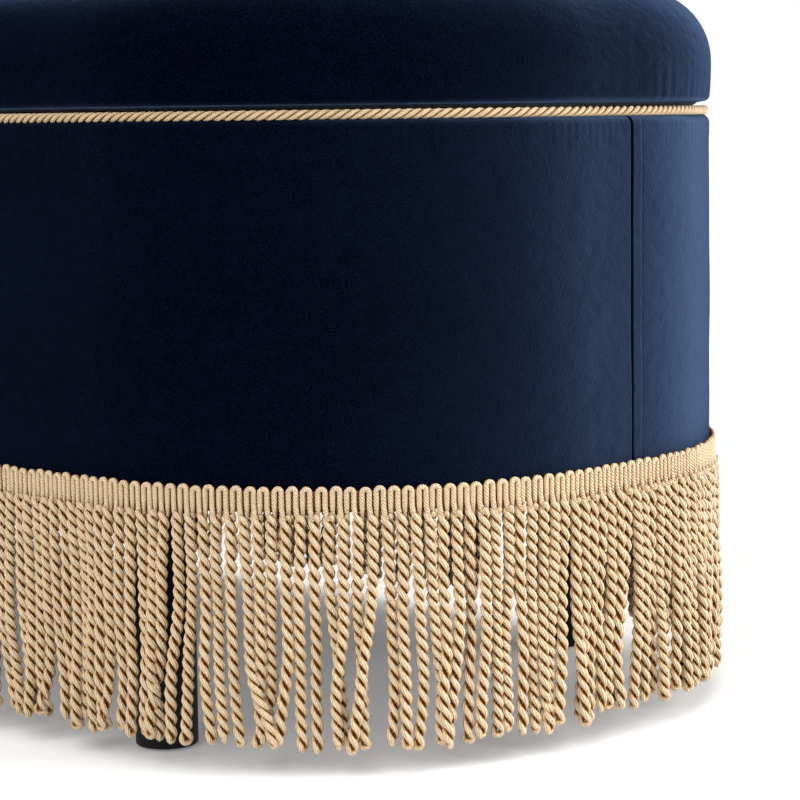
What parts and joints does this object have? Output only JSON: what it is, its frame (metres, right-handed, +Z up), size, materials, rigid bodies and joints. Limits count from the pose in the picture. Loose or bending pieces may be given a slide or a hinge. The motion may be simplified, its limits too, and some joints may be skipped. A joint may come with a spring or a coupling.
{
  "type": "upholstered storage bench",
  "caption": "Oblong upholstered storage bench with rounded ends: a tufted cushion lid hinges back from a velvet box with rope trim, a hanging bullion fringe and round feet.",
  "frame": {"origin": "on the floor under the middle of the bench", "axes": "+X along the bench to its right end seen from the front, -Y the front, +Y the hinged back, +Z up"},
  "size_m": [1.283, 0.483, 0.4704],
  "materials": {
    "navy_velvet": "short-pile cotton velvet, navy",
    "gold_cord": "twisted rayon cord, pale gold",
    "plywood": "bare plywood and softwood",
    "foam": "upholstery foam",
    "black_cloth": "black lining cloth",
    "black_foot": "satin black paint on turned wood",
    "glide_plastic": "moulded grey plastic",
    "hinge_steel": "zinc-plated steel",
    "bumper_rubber": "soft grey rubber"
  },
  "bodies": {
    "body": {"base_panel": "plywood", "batten_back": "plywood", "batten_front": "plywood", "box_lining": "black_cloth", "dust_cover": "black_cloth", "floor_lining": "black_cloth", "foot_back_left": "black_foot", "foot_back_right": "black_foot", "foot_block_back_left": "plywood", "foot_block_back_right": "plywood", "foot_block_front_left": "plywood", "foot_block_front_right": "plywood", "foot_front_left": "black_foot", "foot_front_right": "black_foot", "fringe_back": "gold_cord", "fringe_front": "gold_cord", "fringe_left_1": "gold_cord", "fringe_left_2": "gold_cord", "fringe_left_3": "gold_cord", "fringe_right_1": "gold_cord", "fringe_right_2": "gold_cord", "fringe_right_3": "gold_cord", "glide_back_left": "glide_plastic", "glide_back_right": "glide_plastic", "glide_front_left": "glide_plastic", "glide_front_right": "glide_plastic", "hinge_base_leaf_left": "hinge_steel", "hinge_base_leaf_right": "hinge_steel", "hinge_pin_left": "hinge_steel", "hinge_pin_right": "hinge_steel", "lid_bumper_left": "bumper_rubber", "lid_bumper_right": "bumper_rubber", "rope_trim": "gold_cord", "rope_trim_back": "gold_cord", "velvet_back": "navy_velvet", "velvet_front": "navy_velvet", "wall_back": "plywood", "wall_front": "plywood", "wall_left_end": "plywood", "wall_right_end": "plywood"},
    "lid": {"hinge_lid_leaf_left": "hinge_steel", "hinge_lid_leaf_right": "hinge_steel", "lid_board": "plywood", "lid_cover": "navy_velvet", "lid_foam": "foam", "lid_lining": "black_cloth", "tuft_button_01": "navy_velvet", "tuft_button_02": "navy_velvet", "tuft_button_03": "navy_velvet", "tuft_button_04": "navy_velvet", "tuft_button_05": "navy_velvet", "tuft_button_06": "navy_velvet", "tuft_button_07": "navy_velvet", "tuft_button_08": "navy_velvet", "tuft_button_09": "navy_velvet", "tuft_button_10": "navy_velvet", "tuft_button_11": "navy_velvet", "tuft_button_12": "navy_velvet", "tuft_button_13": "navy_velvet", "tuft_button_14": "navy_velvet"}
  },
  "joints": [
    {"name": "lid_hinge", "type": "hinge", "parent": "body", "child": "lid", "pos_m": [0, 0.2372, 0.3803], "axis": [-1, 0, 0], "range_deg": [0, 95]}
  ]
}
